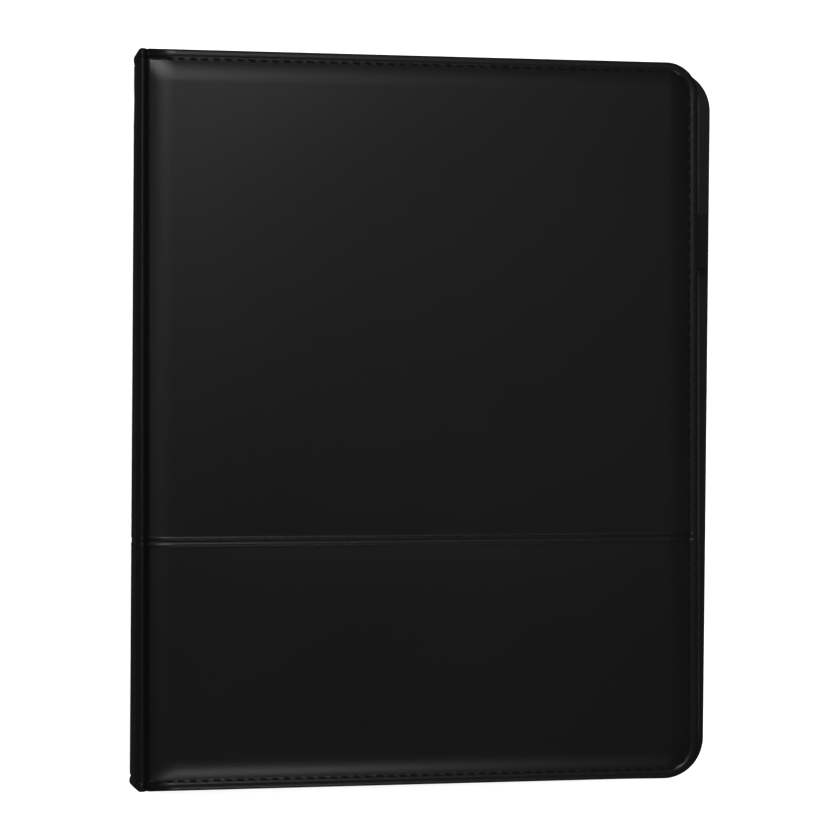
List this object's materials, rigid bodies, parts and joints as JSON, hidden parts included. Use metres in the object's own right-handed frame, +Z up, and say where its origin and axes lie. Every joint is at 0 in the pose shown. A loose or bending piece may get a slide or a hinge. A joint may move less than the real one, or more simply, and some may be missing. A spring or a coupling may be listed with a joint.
{
  "type": "ring binder padfolio",
  "caption": "Closed padded leatherette folder with a ring mechanism on its spine, a writing pad in a sleeve, a document pocket, card slots and a pen loop.",
  "frame": {"origin": "centre of the closed binder's width and height, on the flat outside face of the back cover, which it lies on", "axes": "+X from the spine to the fore-edge, +Y to the head, +Z up through the thickness to the front cover"},
  "size_m": [0.2659, 0.33, 0.0317],
  "materials": {
    "leatherette": "smooth semi-gloss",
    "lining": "matt",
    "board": "matt",
    "foam": "matt",
    "steel": "bright nickel",
    "paper": "matt",
    "elastic": "ribbed"
  },
  "bodies": {
    "back_cover": {"back_skin_upper": "leatherette", "back_skin_lower": "leatherette", "back_seam_band": "leatherette", "back_board": "board", "back_foam": "foam", "back_lining": "lining", "pad_sleeve": "leatherette", "pad_backing_card": "board", "writing_pad": "paper", "pad_binding_tape": "lining", "pen_loop": "elastic"},
    "spine": {"spine_skin_upper": "leatherette", "spine_skin_lower": "leatherette", "spine_seam_band": "leatherette", "spine_board": "board", "spine_lining": "lining", "front_hinge_strip": "leatherette", "back_hinge_strip": "leatherette", "ring_housing": "steel", "head_rivet": "steel", "tail_rivet": "steel"},
    "front_cover": {"front_skin_upper": "leatherette", "front_skin_lower": "leatherette", "front_seam_band": "leatherette", "front_board": "board", "front_foam": "foam", "front_lining": "lining", "document_pocket": "leatherette", "card_slot_back": "leatherette", "card_slot_middle": "leatherette", "card_slot_front": "leatherette"},
    "front_ring_side": {"front_blade": "steel", "front_ring_half_1": "steel", "front_ring_half_2": "steel", "front_ring_half_3": "steel"},
    "back_ring_side": {"back_blade": "steel", "back_ring_half_1": "steel", "back_ring_half_2": "steel", "back_ring_half_3": "steel"},
    "head_lever": {"head_lever": "steel"},
    "tail_lever": {"tail_lever": "steel"}
  },
  "joints": [
    {"name": "spine_hinge", "type": "hinge", "parent": "back_cover", "child": "spine", "pos_m": [-0.13195, 0, 0.0008], "axis": [0, -1, 0], "range_deg": [0, 90], "deforming": ["back_hinge_strip"]},
    {"name": "front_hinge", "type": "hinge", "parent": "spine", "child": "front_cover", "pos_m": [-0.13195, 0, 0.0312], "axis": [0, -1, 0], "range_deg": [0, 92.87], "deforming": ["front_hinge_strip"]},
    {"name": "front_rings_open", "type": "hinge", "parent": "spine", "child": "front_ring_side", "pos_m": [-0.128, 0, 0.02282], "axis": [0, -1, 0], "range_deg": [0, 13]},
    {"name": "back_rings_open", "type": "hinge", "parent": "spine", "child": "back_ring_side", "pos_m": [-0.128, 0, 0.00822], "axis": [0, 1, 0], "range_deg": [0, 13]},
    {"name": "head_lever_press", "type": "hinge", "parent": "spine", "child": "head_lever", "pos_m": [-0.12725, 0.1355, 0.01552], "axis": [0, 0, 1], "range_deg": [0, 16]},
    {"name": "tail_lever_press", "type": "hinge", "parent": "spine", "child": "tail_lever", "pos_m": [-0.12725, -0.1355, 0.01552], "axis": [0, 0, -1], "range_deg": [0, 16]}
  ],
  "couplings": [
    {"joint": "back_rings_open", "follows": "front_rings_open", "ratio": 1},
    {"joint": "head_lever_press", "follows": "front_rings_open", "ratio": 1.23},
    {"joint": "tail_lever_press", "follows": "front_rings_open", "ratio": 1.23}
  ]
}
